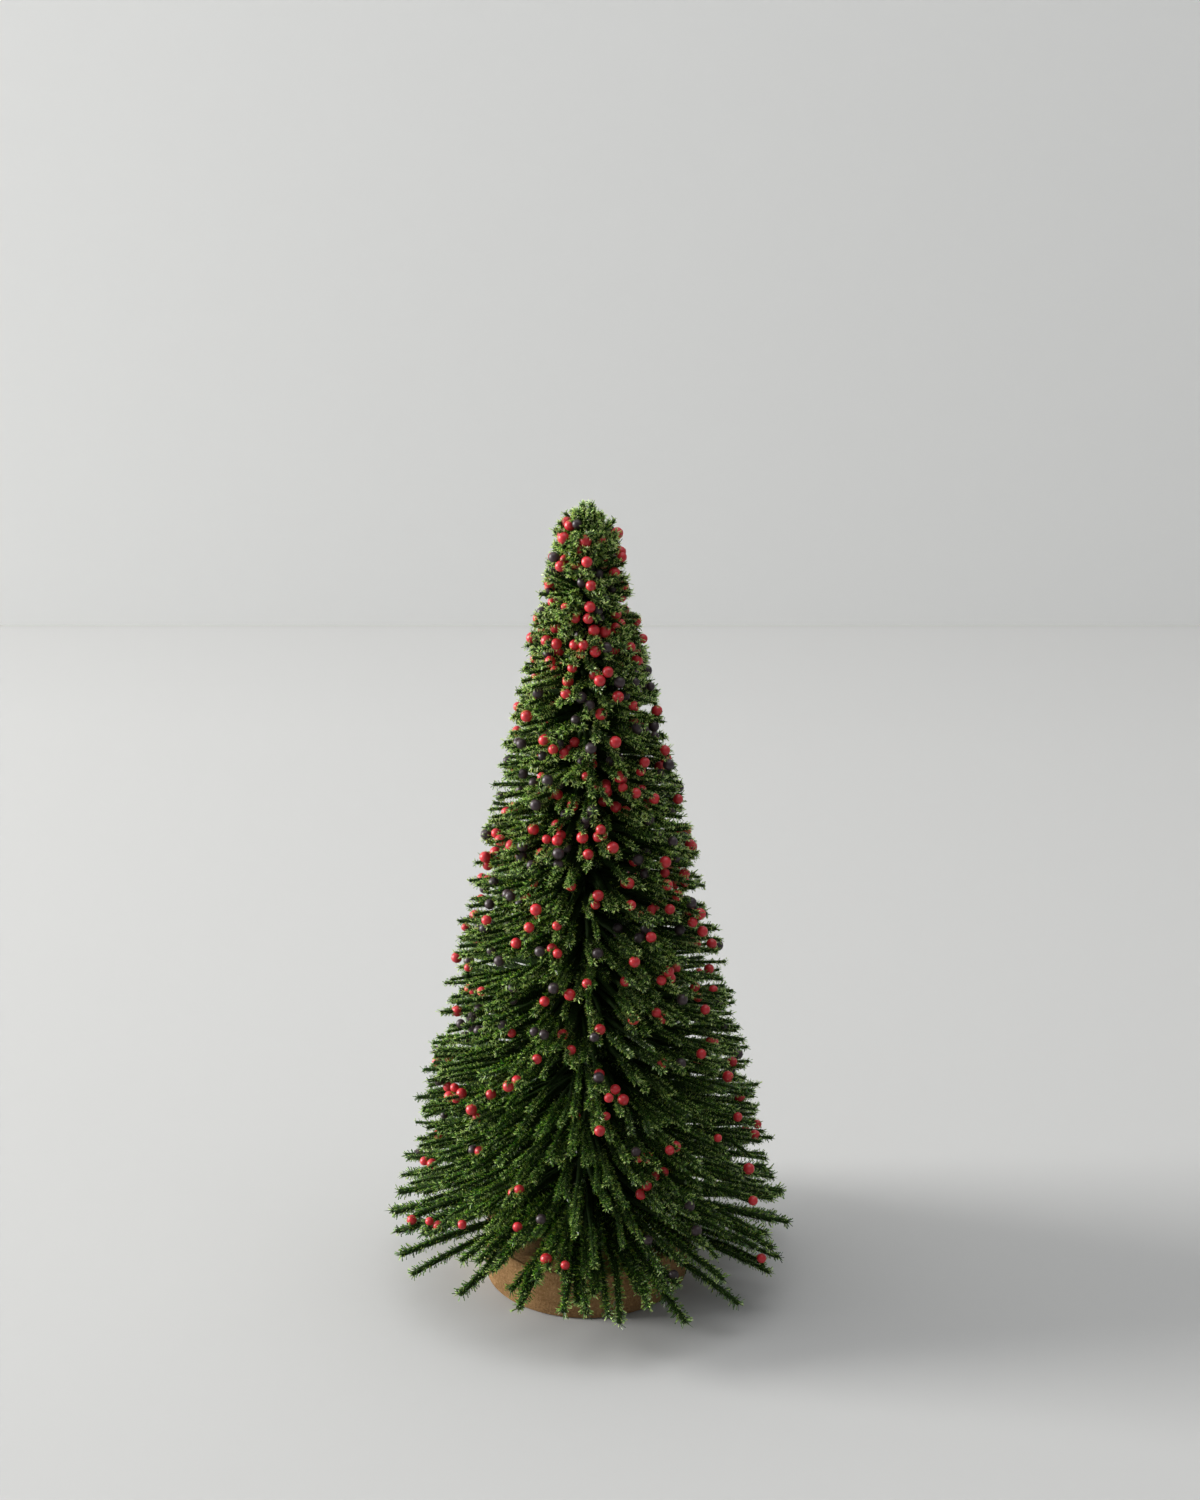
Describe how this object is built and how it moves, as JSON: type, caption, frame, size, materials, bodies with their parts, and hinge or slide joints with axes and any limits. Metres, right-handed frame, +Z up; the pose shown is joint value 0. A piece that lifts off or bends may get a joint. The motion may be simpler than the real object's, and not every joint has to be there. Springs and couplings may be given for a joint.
{
  "type": "decorative bottle-brush christmas tree",
  "caption": "Table-top bottle-brush tree: green yarn strands clamped in a twisted wire stem, trimmed to a cone, dotted with round berries, on a felt-covered wooden disc.",
  "frame": {"origin": "middle of the foot pad's underside, on the surface that the tree stands on", "axes": "+Z up along the stem, -Y towards the side that the picture shows"},
  "size_m": [0.1494, 0.1507, 0.304],
  "materials": {
    "green_yarn": "fuzzy matte",
    "brown_felt": "short-napped matte",
    "wood": "raw",
    "steel_wire": "dull drawn",
    "glue": "set hot-melt glue",
    "red_berry": "satin paint",
    "plum_berry": "satin paint"
  },
  "bodies": {
    "root": {"foot_pad": "brown_felt", "wooden_base_core": "wood", "felt_side_band": "brown_felt", "felt_top_disc": "brown_felt", "glue_plug": "glue", "stem_wire_a": "steel_wire", "stem_wire_b": "steel_wire", "bristles_skirt": "green_yarn", "bristles_lower": "green_yarn", "bristles_upper": "green_yarn", "bristles_crown": "green_yarn", "red_berry_01": "red_berry", "red_berry_02": "red_berry", "red_berry_03": "red_berry", "red_berry_04": "red_berry", "red_berry_05": "red_berry", "red_berry_06": "red_berry", "red_berry_07": "red_berry", "red_berry_08": "red_berry", "red_berry_09": "red_berry", "red_berry_10": "red_berry", "red_berry_11": "red_berry", "red_berry_12": "red_berry", "red_berry_13": "red_berry", "red_berry_14": "red_berry", "red_berry_15": "red_berry", "red_berry_16": "red_berry", "red_berry_17": "red_berry", "red_berry_18": "red_berry", "red_berry_19": "red_berry", "red_berry_20": "red_berry", "red_berry_21": "red_berry", "red_berry_22": "red_berry", "red_berry_23": "red_berry", "red_berry_24": "red_berry", "red_berry_25": "red_berry", "red_berry_26": "red_berry", "red_berry_27": "red_berry", "red_berry_28": "red_berry", "red_berry_29": "red_berry", "red_berry_30": "red_berry", "red_berry_31": "red_berry", "plum_berry_01": "plum_berry", "plum_berry_02": "plum_berry", "plum_berry_03": "plum_berry", "plum_berry_04": "plum_berry", "plum_berry_05": "plum_berry", "plum_berry_06": "plum_berry", "plum_berry_07": "plum_berry", "plum_berry_08": "plum_berry", "plum_berry_09": "plum_berry", "plum_berry_10": "plum_berry", "plum_berry_11": "plum_berry", "plum_berry_12": "plum_berry", "plum_berry_13": "plum_berry", "plum_berry_14": "plum_berry", "plum_berry_15": "plum_berry", "plum_berry_16": "plum_berry"}
  },
  "joints": []
}
